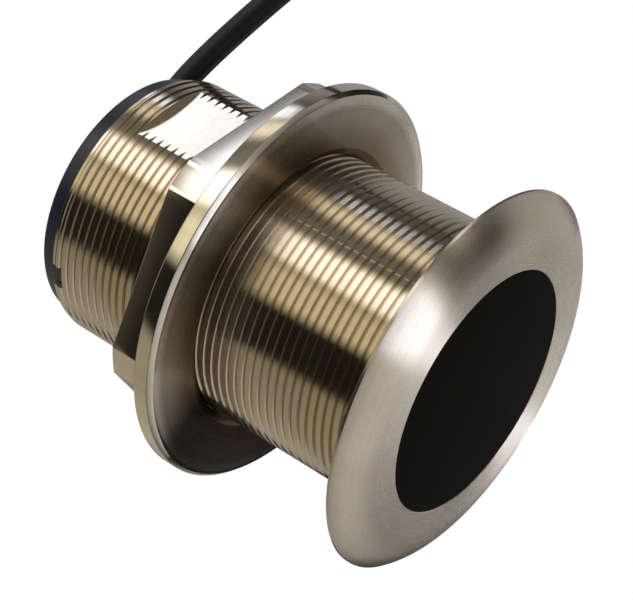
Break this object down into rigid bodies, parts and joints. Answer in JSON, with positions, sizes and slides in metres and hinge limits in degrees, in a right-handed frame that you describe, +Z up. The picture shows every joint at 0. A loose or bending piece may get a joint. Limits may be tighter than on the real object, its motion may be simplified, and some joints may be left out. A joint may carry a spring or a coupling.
{
  "type": "sonar transducer",
  "caption": "Bronze through-hull sonar transducer: mushroom flange with a black acoustic window, threaded stem, flanged hull nut, rear cap and coiled cable with a connector.",
  "frame": {"origin": "centre of the acoustic window's outer face, on the axis of the stem", "axes": "+Z up the stem from the face to the rear cap; +X square to the wrench flats; the keyway points to -Y"},
  "size_m": [0.1606, 0.2504, 0.1058],
  "materials": {
    "bronze": "machined and brushed, satin",
    "window": "smooth moulded face, semi-matt",
    "ceramic": "fired ceramic with a fired silver electrode, matt",
    "cork": "pressed cork and rubber, matt",
    "red_insulation": "extruded wire insulation",
    "black_insulation": "extruded wire insulation",
    "white_insulation": "extruded wire insulation",
    "epoxy": "cast epoxy",
    "tinned_copper": "tinned wire",
    "board": "solder-masked glass laminate",
    "ferrite": "sintered ferrite, matt",
    "former": "moulded coil former",
    "copper": "enamelled winding wire",
    "chip": "moulded chip package",
    "cap": "moulded plastic, satin",
    "cable_jacket": "smooth extruded jacket, satin",
    "tie": "woven strap",
    "connector": "moulded plastic, fine grain",
    "insert": "moulded insulator",
    "contact": "plated pins"
  },
  "bodies": {
    "transducer": {"housing": "bronze", "acoustic_window": "window", "piezo_disc": "ceramic", "isolation_sleeve": "cork", "backing_pad": "cork", "lead_hot": "red_insulation", "lead_return": "black_insulation", "thermistor": "epoxy", "thermistor_leads": "tinned_copper", "potting_front": "epoxy", "circuit_board": "board", "core_lower": "ferrite", "core_upper": "ferrite", "coil_former": "former", "winding": "copper", "id_chip": "chip", "cable_conductors": "white_insulation", "cable_tail": "cable_jacket", "potting_rear": "epoxy", "rear_cap": "cap", "strain_relief": "cable_jacket", "cable": "cable_jacket", "cable_coil": "cable_jacket", "coil_ties": "tie", "cable_lead": "cable_jacket", "connector_boot": "cable_jacket", "connector_shell": "connector", "connector_insert": "insert", "connector_contacts": "contact"},
    "nut": {"hull_nut": "bronze"},
    "ring": {"coupling_ring": "connector"}
  },
  "joints": [
    {"name": "nut_travel", "type": "slide", "parent": "transducer", "child": "nut", "axis": [0, 0, 1], "range_m": [-0.0415, 0.023]},
    {"name": "ring_spin", "type": "hinge", "parent": "transducer", "child": "ring", "pos_m": [-0.00405, 0.15571, 0.0126], "axis": [-0.6691, -0.7431, 0], "continuous": true}
  ]
}
